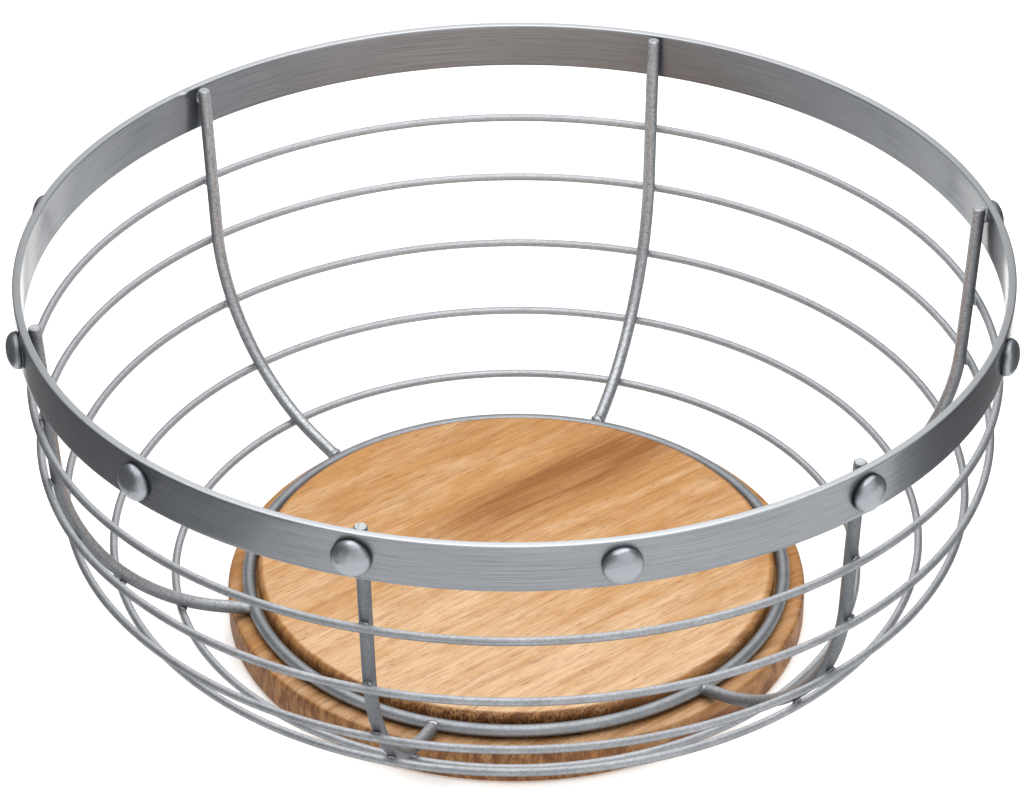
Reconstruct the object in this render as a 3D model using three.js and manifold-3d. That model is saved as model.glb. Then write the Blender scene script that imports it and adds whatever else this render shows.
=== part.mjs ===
// Round fruit basket: a welded wire bowl under a riveted rim band, standing on a turned wooden board.
// Millimetres, +Z up. The origin is the centre of the board's underside.
import * as THREE from "three";
import { mergeVertices } from "three/addons/utils/BufferGeometryUtils.js";
import Module from "manifold-3d";

// Driving dimensions, in millimetres and degrees
const RIM_DIAMETER = 300; // outside of the rim band
const RIM_HEIGHT = 128.5; // top edge of the rim band above the table
const BAND_HEIGHT = 15;
const BAND_THICKNESS = 2.5;
const RIB_COUNT = 6;
const RIB_WIRE = 4;
const FIRST_RIB_ANGLE = 12.4; // from +X, the basket's right
const RIB_SHIFTS = [-0.9, -1, 0.8, 2.2, 0.6, -1]; // each hand-set rib from its even place
const RIB_TOP_DROP = 0.5; // rib ends below the band's top edge
const RIB_LEAN = 3.5; // upper run of a rib from the upright
const RIB_BEND_RADIUS = 66;
const RIB_FOOT_SLOPE = 16; // lower run of a rib from the level
const RIB_FOOT_DROP = 0.2; // rib's centre line below the middle of the base ring
const HOOP_COUNT = 5;
const HOOP_WIRE = 2.5;
const HOOP_BELOW_BAND = 19; // along a rib, from the band's lower edge to the first hoop
const HOOP_BEFORE_FOOT = 20; // along a rib, from the last hoop to the rib's foot
const BASE_RING_DIAMETER = 168; // to the middle of the wire
const BASE_RING_WIRE = 4;
const RIVETS_PER_RIB = 2;
const RIVET_SHIFTS = [0.7, 0, -0.4, 0.5, 1.3, 1.8, 2.2, 2.6, 0.2, -1.3, -1.7, 0.2]; // likewise for rivets
const RIVET_HEAD_DIAMETER = 11.5;
const RIVET_HEAD_HEIGHT = 3.8;
const RIVET_HEAD_LAND = 1; // upright edge round the head
const RIVET_SHANK_DIAMETER = 4;
const RIVET_POCKET_FLOOR = 0.8; // metal left behind a rivet's pocket in the band
const BOARD_THICKNESS = 18.5;
const REBATE_DEPTH = 6; // step in which the base ring lies
const FLANGE_MARGIN = 4.7; // board beyond the outside of the base ring
const CENTRE_CLEARANCE = 1; // between the base ring and the board's raised centre
const CENTRE_EDGE_RADIUS = 2.5;
const FLANGE_EDGE_RADIUS = 2;
const STUD_COUNT = 3;
const STUD_DIAMETER = 3;
const STUD_PROJECTION = 0.5; // stud end below its nut
const STUD_RECESS = 0.5; // stud end above the table
const NUT_ACROSS_FLATS = 5.5;
const NUT_THICKNESS = 2.4;
const WASHER_DIAMETER = 7;
const WASHER_THICKNESS = 0.5;
const JOINT_GAP = 0.3; // between pieces that touch, are welded or fit into each other

// Facets
const RING_SEGMENTS = 10 * RIB_COUNT;
const WIRE_SIDES = 8;
const RIB_STEPS = 20;
const SMALL_SEGMENTS = 12;
const EDGE_STEPS = 4;
const MERGE_DISTANCE = 1e-4;

// Places worked out from the driving dimensions
const bandOuterRadius = RIM_DIAMETER / 2;
const bandInnerRadius = bandOuterRadius - BAND_THICKNESS;
const bandMiddleHeight = RIM_HEIGHT - BAND_HEIGHT / 2;
const rivetPocketDepth = BAND_THICKNESS - RIVET_POCKET_FLOOR;
const ringRadius = BASE_RING_DIAMETER / 2;
const shoulderHeight = BOARD_THICKNESS - REBATE_DEPTH;
const ringHeight = shoulderHeight + JOINT_GAP + BASE_RING_WIRE / 2;
const centreRadius = ringRadius - BASE_RING_WIRE / 2 - CENTRE_CLEARANCE;
const boardRadius = ringRadius + BASE_RING_WIRE / 2 + FLANGE_MARGIN;
const studHoleDiameter = STUD_DIAMETER + 2 * JOINT_GAP;
const nutBottom = STUD_RECESS + STUD_PROJECTION;
const washerBottom = nutBottom + NUT_THICKNESS + JOINT_GAP;
const counterboreDepth = washerBottom + WASHER_THICKNESS + JOINT_GAP;
const counterboreDiameter = WASHER_DIAMETER + 2 * JOINT_GAP;

const wasm = await Module();
wasm.setup();

const radians = THREE.MathUtils.degToRad;

const brushedSteel = () => new THREE.MeshStandardMaterial({ color: 0x8f9397, roughness: 0.42, metalness: 0.85 });
const platedSteel = () => new THREE.MeshStandardMaterial({ color: 0xb4b7ba, roughness: 0.35, metalness: 0.9 });
const acacia = () => new THREE.MeshStandardMaterial({ color: 0xcf9f6a, roughness: 0.6, metalness: 0 });

// A closed mesh as a solid that can be cut
function solidOf(geometry) {
  const bare = geometry.clone();
  bare.deleteAttribute("normal");
  bare.deleteAttribute("uv");
  const merged = mergeVertices(bare, MERGE_DISTANCE);
  const corners = merged.index.array;
  const triangles = [];
  for (let i = 0; i < corners.length; i += 3) {
    const [a, b, c] = corners.slice(i, i + 3);
    if (a !== b && b !== c && c !== a) triangles.push(a, b, c);
  }
  const vertProperties = new Float32Array(merged.attributes.position.array);
  return new wasm.Manifold(new wasm.Mesh({ numProp: 3, vertProperties, triVerts: new Uint32Array(triangles) }));
}

function geometryOf(solid) {
  const mesh = solid.getMesh();
  const geometry = new THREE.BufferGeometry();
  geometry.setAttribute("position", new THREE.BufferAttribute(mesh.vertProperties, 3));
  geometry.setIndex(new THREE.BufferAttribute(mesh.triVerts, 1));
  const faceted = geometry.toNonIndexed();
  faceted.computeVertexNormals();
  return faceted;
}

// A geometry with others cut out of it
function cut(geometry, tools) {
  let solid = solidOf(geometry);
  for (const tool of tools) solid = solid.subtract(solidOf(tool));
  return geometryOf(solid);
}

// A turned solid about Z from (radius, height) points, with its seam on +X
function turned(points, segments) {
  const profile = points.map(([radius, height]) => new THREE.Vector2(radius, height));
  return new THREE.LatheGeometry(profile, segments).rotateX(Math.PI / 2).rotateZ(Math.PI / 2);
}

// Points of a rounded edge from one angle to another, in degrees from the radius axis
function rounded(radius, height, bend, from, to) {
  const points = [];
  for (let i = 0; i <= EDGE_STEPS; i += 1) {
    const angle = radians(from + ((to - from) * i) / EDGE_STEPS);
    points.push([radius + bend * Math.cos(angle), height + bend * Math.sin(angle)]);
  }
  return points;
}

// A plain upright cylinder between two heights
function rod(diameter, bottom, top) {
  return new THREE.CylinderGeometry(diameter / 2, diameter / 2, top - bottom, SMALL_SEGMENTS)
    .rotateX(Math.PI / 2)
    .translate(0, 0, (bottom + top) / 2);
}

// A closed loop of round wire about Z
function wireLoop(radius, wire) {
  return new THREE.TorusGeometry(radius, wire / 2, WIRE_SIDES, RING_SEGMENTS);
}

// A circle as an outline
function circle(diameter) {
  return new THREE.Shape().absarc(0, 0, diameter / 2, 0, 2 * Math.PI);
}

// Centre line of a rib in the XZ plane: a straight run from the rim, a bend and a straight foot
class RibLine extends THREE.Curve {
  constructor() {
    super();
    this.lean = radians(RIB_LEAN);
    this.last = Math.PI / 2 - radians(RIB_FOOT_SLOPE);
    const down = this.heading(this.lean);
    const inward = this.heading(this.last);
    const top = new THREE.Vector2(bandInnerRadius - JOINT_GAP - RIB_WIRE / 2, RIM_HEIGHT - RIB_TOP_DROP);
    const reach = BASE_RING_WIRE / 2 + JOINT_GAP + RIB_FOOT_DROP * Math.cos(this.last);
    const foot = new THREE.Vector2(ringRadius, ringHeight - RIB_FOOT_DROP).addScaledVector(inward, -reach);
    const span = foot.clone().sub(top);
    const upper = span.cross(inward) / down.cross(inward);
    const lower = down.cross(span) / down.cross(inward);
    const half = Math.tan((this.last - this.lean) / 2);
    this.radius = Math.min(RIB_BEND_RADIUS, upper / half, lower / half);
    this.top = top;
    this.foot = foot;
    this.upperRun = upper - this.radius * half;
    this.lowerRun = lower - this.radius * half;
    this.bendRun = this.radius * (this.last - this.lean);
    this.length = this.upperRun + this.bendRun + this.lowerRun;
    const bendStart = top.clone().addScaledVector(down, this.upperRun);
    this.centre = bendStart.addScaledVector(this.outward(this.lean), -this.radius);
  }

  // Direction of travel where the rib has turned by an angle from the upright
  heading(turn) {
    return new THREE.Vector2(-Math.sin(turn), -Math.cos(turn));
  }

  // Direction away from the inside of the bowl
  outward(turn) {
    return new THREE.Vector2(Math.cos(turn), -Math.sin(turn));
  }

  turnAt(distance) {
    const bent = (distance - this.upperRun) / this.radius;
    return THREE.MathUtils.clamp(this.lean + bent, this.lean, this.last);
  }

  placeAt(distance) {
    if (distance < this.upperRun) {
      return this.top.clone().addScaledVector(this.heading(this.lean), distance);
    }
    if (distance > this.upperRun + this.bendRun) {
      return this.foot.clone().addScaledVector(this.heading(this.last), distance - this.length);
    }
    return this.centre.clone().addScaledVector(this.outward(this.turnAt(distance)), this.radius);
  }

  getPoint(t, target = new THREE.Vector3()) {
    const place = this.placeAt(t * this.length);
    return target.set(place.x, 0, place.y);
  }
}

const ribLine = new RibLine();

// Flat strip rolled to a ring, with a pocket for each rivet shank
function rimBand(rivetAngles) {
  const lower = RIM_HEIGHT - BAND_HEIGHT;
  const strip = turned([
    [bandInnerRadius, lower],
    [bandOuterRadius, lower],
    [bandOuterRadius, RIM_HEIGHT],
    [bandInnerRadius, RIM_HEIGHT],
    [bandInnerRadius, lower],
  ], RING_SEGMENTS);
  const pocketDiameter = RIVET_SHANK_DIAMETER + 2 * JOINT_GAP;
  const pockets = rivetAngles.map((angle) =>
    rod(pocketDiameter, bandOuterRadius - rivetPocketDepth, bandOuterRadius + BAND_THICKNESS)
      .rotateY(Math.PI / 2)
      .translate(0, 0, bandMiddleHeight)
      .rotateZ(angle));
  return cut(strip, pockets);
}

// Domed head on a short shank, pointing along +X from the seat of the head
function rivet() {
  const head = RIVET_HEAD_DIAMETER / 2;
  const shank = RIVET_SHANK_DIAMETER / 2;
  const dome = RIVET_HEAD_HEIGHT - RIVET_HEAD_LAND;
  const crown = rounded(0, 0, 1, 0, 90).map(([x, y]) => [x * head, RIVET_HEAD_LAND + y * dome]);
  crown[EDGE_STEPS][0] = 0;
  const profile = [[0, -rivetPocketDepth], [shank, -rivetPocketDepth], [shank, 0], [head, 0], ...crown];
  return turned(profile, SMALL_SEGMENTS).rotateY(Math.PI / 2);
}

function rib() {
  return new THREE.ExtrudeGeometry(circle(RIB_WIRE), {
    extrudePath: ribLine,
    steps: RIB_STEPS,
    curveSegments: WIRE_SIDES / 2,
  });
}

// Radius and height of each hoop, welded to the outside of the ribs at an even spacing
function hoopPlaces() {
  const bandEdge = (BAND_HEIGHT - RIB_TOP_DROP) / Math.cos(ribLine.lean);
  const first = bandEdge + HOOP_BELOW_BAND;
  const last = ribLine.length - HOOP_BEFORE_FOOT;
  const offset = RIB_WIRE / 2 + HOOP_WIRE / 2 + JOINT_GAP;
  const places = [];
  for (let i = 0; i < HOOP_COUNT; i += 1) {
    const distance = first + ((last - first) * i) / Math.max(HOOP_COUNT - 1, 1);
    const outward = ribLine.outward(ribLine.turnAt(distance));
    places.push(ribLine.placeAt(distance).addScaledVector(outward, offset));
  }
  return places;
}

// Turned board: a wide flange, a rebate for the base ring and a raised centre, drilled for the studs
function baseBoard(studAngles) {
  const flangeEdge = boardRadius - FLANGE_EDGE_RADIUS;
  const centreEdge = centreRadius - CENTRE_EDGE_RADIUS;
  const blank = turned([
    [0, 0],
    ...rounded(flangeEdge, FLANGE_EDGE_RADIUS, FLANGE_EDGE_RADIUS, -90, 0),
    ...rounded(flangeEdge, shoulderHeight - FLANGE_EDGE_RADIUS, FLANGE_EDGE_RADIUS, 0, 90),
    [centreRadius, shoulderHeight],
    ...rounded(centreEdge, BOARD_THICKNESS - CENTRE_EDGE_RADIUS, CENTRE_EDGE_RADIUS, 0, 90),
    [0, BOARD_THICKNESS],
  ], RING_SEGMENTS);
  const drills = studAngles.flatMap((angle) => [
    rod(studHoleDiameter, -JOINT_GAP, shoulderHeight + JOINT_GAP).translate(ringRadius, 0, 0).rotateZ(angle),
    rod(counterboreDiameter, -JOINT_GAP, counterboreDepth).translate(ringRadius, 0, 0).rotateZ(angle),
  ]);
  return cut(blank, drills);
}

// Flat piece with the stud's hole through it
function drilledPlate(outline, thickness) {
  outline.holes.push(new THREE.Path().absarc(0, 0, studHoleDiameter / 2, 0, 2 * Math.PI, true));
  return new THREE.ExtrudeGeometry(outline, {
    depth: thickness,
    bevelEnabled: false,
    curveSegments: SMALL_SEGMENTS / 2,
  });
}

function nut() {
  const corner = NUT_ACROSS_FLATS / Math.sqrt(3);
  const outline = new THREE.Shape();
  for (let i = 0; i < 6; i += 1) {
    const angle = (i * Math.PI) / 3;
    const move = i === 0 ? "moveTo" : "lineTo";
    outline[move](corner * Math.cos(angle), corner * Math.sin(angle));
  }
  return drilledPlate(outline, NUT_THICKNESS);
}

function washer() {
  return drilledPlate(circle(WASHER_DIAMETER), WASHER_THICKNESS);
}

// Weld stud from the underside of the base ring down through the board
function stud() {
  return rod(STUD_DIAMETER, STUD_RECESS, shoulderHeight);
}

const basket = new THREE.Group();
const turnedFrame = new THREE.Group();
turnedFrame.rotation.z = radians(FIRST_RIB_ANGLE);
basket.add(turnedFrame);

function add(name, geometry, material) {
  const mesh = new THREE.Mesh(geometry, material);
  mesh.name = name;
  turnedFrame.add(mesh);
  return mesh;
}

// Places a mesh at a radius and angle about Z, turned to face outwards
function placeRound(mesh, radius, angle, height) {
  mesh.position.set(radius * Math.cos(angle), radius * Math.sin(angle), height);
  mesh.rotation.z = angle;
}

function evenAngles(count, first) {
  return Array.from({ length: count }, (_, i) => first + (i * 2 * Math.PI) / count);
}

// Even angles, each moved by the shift of a piece that was set by hand
function handSet(count, shifts) {
  return evenAngles(count, 0).map((angle, i) => angle + radians(shifts[i % shifts.length]));
}

const ribAngles = handSet(RIB_COUNT, RIB_SHIFTS);
const rivetAngles = handSet(RIB_COUNT * RIVETS_PER_RIB, RIVET_SHIFTS);
const studAngles = evenAngles(STUD_COUNT, Math.PI / RIB_COUNT);

add("rim_band", rimBand(rivetAngles), brushedSteel());

rivetAngles.forEach((angle, i) => {
  const name = `rivet_${String(i + 1).padStart(2, "0")}`;
  placeRound(add(name, rivet(), brushedSteel()), bandOuterRadius + JOINT_GAP, angle, bandMiddleHeight);
});

ribAngles.forEach((angle, i) => {
  placeRound(add(`rib_${i + 1}`, rib(), brushedSteel()), 0, angle, 0);
});

hoopPlaces().forEach((place, i) => {
  add(`hoop_${i + 1}`, wireLoop(place.x, HOOP_WIRE), brushedSteel()).position.z = place.y;
});

add("base_ring", wireLoop(ringRadius, BASE_RING_WIRE), brushedSteel()).position.z = ringHeight;
add("base_board", baseBoard(studAngles), acacia());

studAngles.forEach((angle, i) => {
  placeRound(add(`stud_${i + 1}`, stud(), platedSteel()), ringRadius, angle, 0);
  placeRound(add(`washer_${i + 1}`, washer(), platedSteel()), ringRadius, angle, washerBottom);
  placeRound(add(`nut_${i + 1}`, nut(), platedSteel()), ringRadius, angle, nutBottom);
});

export default basket;
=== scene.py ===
import math

import bmesh
import bpy
from bpy.props import FloatProperty, FloatVectorProperty, PointerProperty
from mathutils import Matrix, Vector, noise
from mathutils.kdtree import KDTree


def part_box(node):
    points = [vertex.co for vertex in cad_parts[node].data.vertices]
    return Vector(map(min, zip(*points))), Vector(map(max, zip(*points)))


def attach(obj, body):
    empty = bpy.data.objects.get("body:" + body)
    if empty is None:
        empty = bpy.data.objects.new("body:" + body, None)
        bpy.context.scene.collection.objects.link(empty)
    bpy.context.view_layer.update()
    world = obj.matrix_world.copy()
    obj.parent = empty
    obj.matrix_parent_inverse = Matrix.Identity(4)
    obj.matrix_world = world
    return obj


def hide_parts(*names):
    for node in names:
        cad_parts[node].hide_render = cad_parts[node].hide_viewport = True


bl_info = {
    "name": "Wire fruit basket",
    "version": (1, 0, 0),
    "blender": (4, 5, 0),
    "location": "View3D > Sidebar > Basket",
    "description": "Dresses the solids of a riveted wire fruit basket and sets it on a pale studio floor",
    "category": "Object",
}

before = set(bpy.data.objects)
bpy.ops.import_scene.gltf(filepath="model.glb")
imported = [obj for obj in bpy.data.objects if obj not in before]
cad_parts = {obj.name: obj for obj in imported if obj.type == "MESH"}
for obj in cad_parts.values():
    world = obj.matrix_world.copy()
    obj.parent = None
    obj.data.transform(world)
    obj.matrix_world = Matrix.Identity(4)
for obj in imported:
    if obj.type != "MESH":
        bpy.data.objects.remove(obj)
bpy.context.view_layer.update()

BODY = "root"
MM = 0.001
UP = Vector((0, 0, 1))
FULL_SIZE = (1, 1, 1)

# Facets
BAND_SEGMENTS = 900
BAND_FACE_ROWS = 14
EDGE_STEPS = 5
RIVET_SEGMENTS = 40
RIVET_CROWN_STEPS = 14
RIB_STEP = 2.2 * MM
SEARCH_STEP = RIB_STEP / 10
HOOP_POINTS = 420
RING_POINTS = 260
RIB_SIDES = 18
HOOP_SIDES = 14
BOARD_SEGMENTS = 220
SMALL_SEGMENTS = 36
BEAD_DETAIL = 3
SHARP_ANGLE = math.radians(35)
MERGE_DISTANCE = 1e-7

# Photograph's camera, fitted to the ellipses of the rim and the hoops
IMAGE_WIDTH = 1024
SENSOR_WIDTH = 36
FOCAL_PIXELS = 4164
CAMERA_BACK = 1067.6 * MM
CAMERA_ABOVE_RIM = 648.4 * MM
CAMERA_PITCH = 0.5807
CAMERA_YAW = 0.0009
CAMERA_ROLL = -0.0065


def linear(code):
    """Linear red, green and blue of an sRGB hex colour."""
    parts = [int(code[i:i + 2], 16) / 255 for i in (0, 2, 4)]
    return tuple(p / 12.92 if p <= 0.04045 else ((p + 0.055) / 1.055) ** 2.4 for p in parts)


def length(name, millimetres, description):
    """A length that the user can change, given in millimetres and kept in metres."""
    return FloatProperty(
        name=name, description=description, default=millimetres * MM, min=0, precision=5, unit="LENGTH")


def angle(name, degrees, description):
    """An angle that the user can change, given in degrees and kept in radians."""
    return FloatProperty(
        name=name, description=description, default=math.radians(degrees), subtype="ANGLE", unit="ROTATION")


def colour(name, code, description):
    """A colour that the user can change, given as sRGB hex and kept linear."""
    return FloatVectorProperty(
        name=name, description=description, default=linear(code), min=0, max=1, size=3, subtype="COLOR")


class BasketSizes(bpy.types.PropertyGroup):
    """Sizes of the basket's pieces that the solids' boxes leave open"""
    joint_gap: length("Joint gap", 0.3, "Clearance that the solids keep where pieces are welded")
    band_thickness: length("Band thickness", 2.5, "Wall of the rolled strip")
    band_edge: length("Band edge", 0.45, "Rounding of the strip's long edges")
    band_waver: length("Band waver", 0.2, "How far the rolled strip strays from a true ring")
    rivet_head: length("Rivet head", 11.5, "Diameter of a rivet's head")
    rivet_height: length("Rivet height", 4.1, "Height of a rivet's head above the band")
    rivet_land: length("Rivet land", 0.9, "Upright edge below a rivet's dome")
    rivet_undercut: length("Rivet undercut", 0.5, "How far a head draws in where it meets the band")
    rib_wire: length("Rib wire", 4, "Diameter of the ribs and of the base ring")
    rib_top_drop: length("Rib top drop", 0.5, "Rib ends below the band's top edge")
    rib_lean: angle("Rib lean", 3.5, "Upper run of a rib from the upright")
    rib_bend: length("Rib bend", 66, "Radius of the bend in a rib's centre line")
    rib_foot_slope: angle("Rib foot slope", 16, "Lower run of a rib from the level")
    rib_foot_drop: length("Rib foot drop", 0.2, "Rib's centre line below the middle of the base ring")
    hoop_wire: length("Hoop wire", 2.5, "Diameter of the hoops")
    wire_waver: length("Wire waver", 0.35, "How far a hand-bent wire strays from its true line")
    ring_clearance: length("Ring clearance", 1, "Between the base ring and the board's raised centre")
    centre_edge: length("Centre edge", 1.9, "Rounding of the raised centre's edge")
    flange_edge: length("Flange edge", 2, "Rounding of the flange's edges")
    stud_hole: length("Stud hole", 3.6, "Diameter of the holes for the studs")
    counterbore: length("Counterbore", 7.6, "Diameter of the recesses for the nuts")
    counterbore_depth: length("Counterbore depth", 4.5, "Depth of the recesses for the nuts")
    thread_depth: length("Thread depth", 0.3, "Depth of the studs' thread")
    thread_pitch: length("Thread pitch", 0.5, "Pitch of the studs' thread")


class BasketColours(bpy.types.PropertyGroup):
    """Colours of the basket's finishes and of the studio"""
    steel: colour("Steel", "92969C", "Brushed and lacquered steel")
    steel_streak: colour("Steel streak", "7A7E84", "Dark wash left in the brushing")
    steel_rubbed: colour("Rubbed steel", "ADB0B4", "Edges that are rubbed bright")
    rivet: colour("Rivet", "9DA1A7", "Crowns of the rivets")
    steel_scorched: colour("Scorched steel", "505256", "Marks of heat and wash beside a weld")
    wire: colour("Wire", "AEB0B4", "Drawn and lacquered wire")
    wire_shade: colour("Wire shade", "83868A", "Duller patches along the wire")
    # Painted light: a paler colour on the wires' faces inside the bowl, and ground metal at a rib's top end
    wire_bare: colour("Bare wire", "BABCC0", "Inner faces of the wires, where fruit rubs off the wash")
    ring: colour("Ring", "989B9F", "Base ring, rubbed bright by what lies on it")
    # Painted shade in part: the ribs are the hoops' wire made darker, for wash and for the band's shade over
    # them, and so is the rib shade below
    rib: colour("Rib", "7A7D81", "Heavier wire of the ribs, which keeps more of the wash")
    rib_shade: colour("Rib shade", "5B5E63", "Duller patches along the heavier wire")
    sapwood: colour("Sapwood", "D8B48D", "Pale wood at the board's front")
    acacia: colour("Acacia", "BE8C55", "Golden wood round the heart")
    heartwood: colour("Heartwood", "8F5722", "Red-brown streak of the heart and the lines beside it")
    acacia_pore: colour("Acacia pore", "4A2E1B", "Open pores and specks of end grain")
    acacia_end: colour("Acacia end grain", "6E401B", "Walls of the board, where the oil sinks in")
    zinc: colour("Zinc", "B9BCBF", "Plating of the studs, washers and nuts")
    floor: colour("Floor", "F6F6F5", "Studio floor and walls")
    flag: colour("Flag", "6E6E70", "Grey cards beside the basket, which only its gloss shows")


# Places read from the solids

def like(stem):
    """Names of the solids that share a stem, in order."""
    return sorted(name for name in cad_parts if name.startswith(stem + "_"))


RIBS = like("rib")
HOOPS = like("hoop")
RIVETS = like("rivet")
STUDS = like("stud")
WASHERS = like("washer")
NUTS = like("nut")


def middle(node):
    low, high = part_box(node)
    return (low + high) / 2


def reach(node):
    """Outside radius of a solid that goes round the basket's axis."""
    low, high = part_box(node)
    return (high.x - low.x) / 2


def radial(node):
    """Level direction from the basket's axis to a solid."""
    place = middle(node)
    return Vector((place.x, place.y, 0)).normalized()


class RibLine:
    """Centre line of a rib, as radius and height: a straight run from the rim, a bend and a foot."""

    def __init__(self, sizes):
        self.lean = sizes.rib_lean
        self.last = math.pi / 2 - sizes.rib_foot_slope
        self.bend = sizes.rib_bend
        down = self.heading(self.lean)
        inward = self.heading(self.last)
        half_wire = sizes.rib_wire / 2
        band_inside = reach("rim_band") - sizes.band_thickness
        rim_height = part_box("rim_band")[1].z
        self.top = Vector((band_inside - sizes.joint_gap - half_wire, rim_height - sizes.rib_top_drop))
        ring = Vector((reach("base_ring") - half_wire, middle("base_ring").z - sizes.rib_foot_drop))
        self.foot = ring - inward * (half_wire + sizes.joint_gap)
        span = self.foot - self.top
        cross = down.cross(inward)
        half = math.tan((self.last - self.lean) / 2)
        self.upper = span.cross(inward) / cross - self.bend * half
        self.lower = down.cross(span) / cross - self.bend * half
        self.arc = self.bend * (self.last - self.lean)
        self.length = self.upper + self.arc + self.lower
        self.centre = self.top + down * self.upper - self.outward(self.lean) * self.bend

    def heading(self, turn):
        """Direction of travel where the rib has turned by an angle from the upright."""
        return Vector((-math.sin(turn), -math.cos(turn)))

    def outward(self, turn):
        """Direction away from the inside of the bowl."""
        return Vector((math.cos(turn), -math.sin(turn)))

    def turn(self, distance):
        return min(max(self.lean + (distance - self.upper) / self.bend, self.lean), self.last)

    def place(self, distance):
        if distance < self.upper:
            return self.top + self.heading(self.lean) * distance
        if distance > self.upper + self.arc:
            return self.foot + self.heading(self.last) * (distance - self.length)
        return self.centre + self.outward(self.turn(distance)) * self.bend

    def nearest(self, target):
        """Distance along the rib of the point nearest to a (radius, height) pair."""
        steps = int(self.length / SEARCH_STEP)
        distances = (i * self.length / steps for i in range(steps + 1))
        return min(distances, key=lambda distance: (self.place(distance) - target).length)


def swung(flat, direction):
    """A (radius, height) pair as a place in the upright plane of a level direction."""
    return direction * flat.x + UP * flat.y


# Meshes

def new_piece(name, mesh):
    piece = bpy.data.objects.new(name, mesh)
    bpy.context.scene.collection.objects.link(piece)
    return piece


def settle(piece, nodes):
    """Crisps a piece's edges, ties it to the body and hides the solids that it stands for."""
    if not piece.data.polygons:
        raise RuntimeError(f"{piece.name} came out empty")
    piece.data.shade_smooth()
    piece.data.set_sharp_from_angle(angle=SHARP_ANGLE)
    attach(piece, BODY)
    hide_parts(*nodes)


def arc(centre, radius, first, last, steps=EDGE_STEPS):
    """Points of a rounded edge from one angle to another, in degrees from the radius axis."""
    turns = [math.radians(first + (last - first) * i / steps) for i in range(steps + 1)]
    return [(centre[0] + radius * math.cos(t), centre[1] + radius * math.sin(t)) for t in turns]


def straight(start, end, rows):
    """Points between two corners of a profile, without the corners."""
    start, end = Vector(start), Vector(end)
    return [tuple(start.lerp(end, i / rows)) for i in range(1, rows)]


def flat_ring(inner, outer, bottom, top, edge, face_rows):
    """Closed profile of a flat ring with rounded edges."""
    left, right = inner + edge, outer - edge
    low, high = bottom + edge, top - edge
    return (arc((right, low), edge, -90, 0)
            + straight((outer, low), (outer, high), face_rows)
            + arc((right, high), edge, 0, 90)
            + arc((left, high), edge, 90, 180)
            + straight((inner, high), (inner, low), face_rows)
            + arc((left, low), edge, 180, 270))


def turned(name, profile, segments, closed=False, first_angle=0.0):
    """A mesh turned about Z from (radius, height) points, with a UV map in metres along and across."""
    bm = bmesh.new()
    strip = bm.loops.layers.uv.new("Strip")
    rows = profile + profile[:1] if closed else profile
    across = [0.0]
    for here, there in zip(rows, rows[1:]):
        across.append(across[-1] + (Vector(there) - Vector(here)).length)
    along = max(radius for radius, _ in profile) * 2 * math.pi / segments
    turns = [first_angle + 2 * math.pi * i / segments for i in range(segments)]
    grid = []
    for radius, height in profile:
        grid.append([bm.verts.new((radius * math.cos(t), radius * math.sin(t), height)) for t in turns])
    for row in range(len(rows) - 1):
        lower = grid[row]
        upper = grid[(row + 1) % len(profile)]
        for i in range(segments):
            j = (i + 1) % segments
            face = bm.faces.new((lower[i], lower[j], upper[j], upper[i]))
            corners = ((i, row), (i + 1, row), (i + 1, row + 1), (i, row + 1))
            for loop, (column, line) in zip(face.loops, corners):
                loop[strip].uv = (column * along, across[line])
    bmesh.ops.remove_doubles(bm, verts=bm.verts, dist=MERGE_DISTANCE)
    bmesh.ops.recalc_face_normals(bm, faces=bm.faces)
    mesh = bpy.data.meshes.new(name)
    bm.to_mesh(mesh)
    bm.free()
    return mesh


def lines(name, rows, closed, tapers=()):
    """Bare edges through rows of points, for wire to follow, which tapers narrow at each row's start."""
    points, edges, shares = [], [], []
    for row in rows:
        first = len(points)
        count = len(row)
        points += row
        shares += list(tapers) + [1.0] * (count - len(tapers))
        edges += [(first + i, first + (i + 1) % count) for i in range(count if closed else count - 1)]
    mesh = bpy.data.meshes.new(name)
    mesh.from_pydata(points, edges, [])
    mesh.attributes.new("taper", "FLOAT", "POINT").data.foreach_set("value", shares)
    return new_piece(name, mesh)


def spots(name, rows):
    """Bare points, each with a place, a facing, an upward direction and a size, for copies to stand on."""
    mesh = bpy.data.meshes.new(name)
    mesh.from_pydata([row[0] for row in rows], [], [])
    for i, title in enumerate(("facing", "upward", "size"), start=1):
        layer = mesh.attributes.new(title, "FLOAT_VECTOR", "POINT")
        layer.data.foreach_set("vector", [part for row in rows for part in row[i]])
    return new_piece(name, mesh)


def paint(mesh, **marks):
    """Stores numbers that follow from each vertex as named attributes."""
    for name, value in marks.items():
        layer = mesh.attributes.new(name, "FLOAT", "POINT")
        layer.data.foreach_set("value", [value(vertex) for vertex in mesh.vertices])


def fade(distance, near, far):
    """One up to a near distance, falling smoothly to nothing at a far one."""
    share = min(max((far - distance) / (far - near), 0), 1)
    return share * share * (3 - 2 * share)


def nearness(places, near, far):
    """A function that fades with the distance from the nearest of some places."""
    tree = KDTree(len(places))
    for i, place in enumerate(places):
        tree.insert(place, i)
    tree.balance()
    return lambda point: fade(tree.find(point)[2], near, far)


# Node trees

def feed(tree, node, inputs):
    """Sets a node's inputs, by name or number, to values or to links from sockets or other nodes."""
    for name, value in inputs.items():
        if isinstance(name, int):
            socket = node.inputs[name]
        else:
            socket = next(s for s in node.inputs if s.enabled and s.name == name)
        if isinstance(value, bpy.types.Node):
            value = next(s for s in value.outputs if s.enabled)
        if isinstance(value, bpy.types.NodeSocket):
            tree.links.new(value, socket)
        else:
            socket.default_value = value


def put(tree, kind, inputs=None, **options):
    """Adds a node with its options and inputs."""
    node = tree.nodes.new(kind)
    for option, value in options.items():
        setattr(node, option, value)
    feed(tree, node, inputs or {})
    return node


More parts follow.
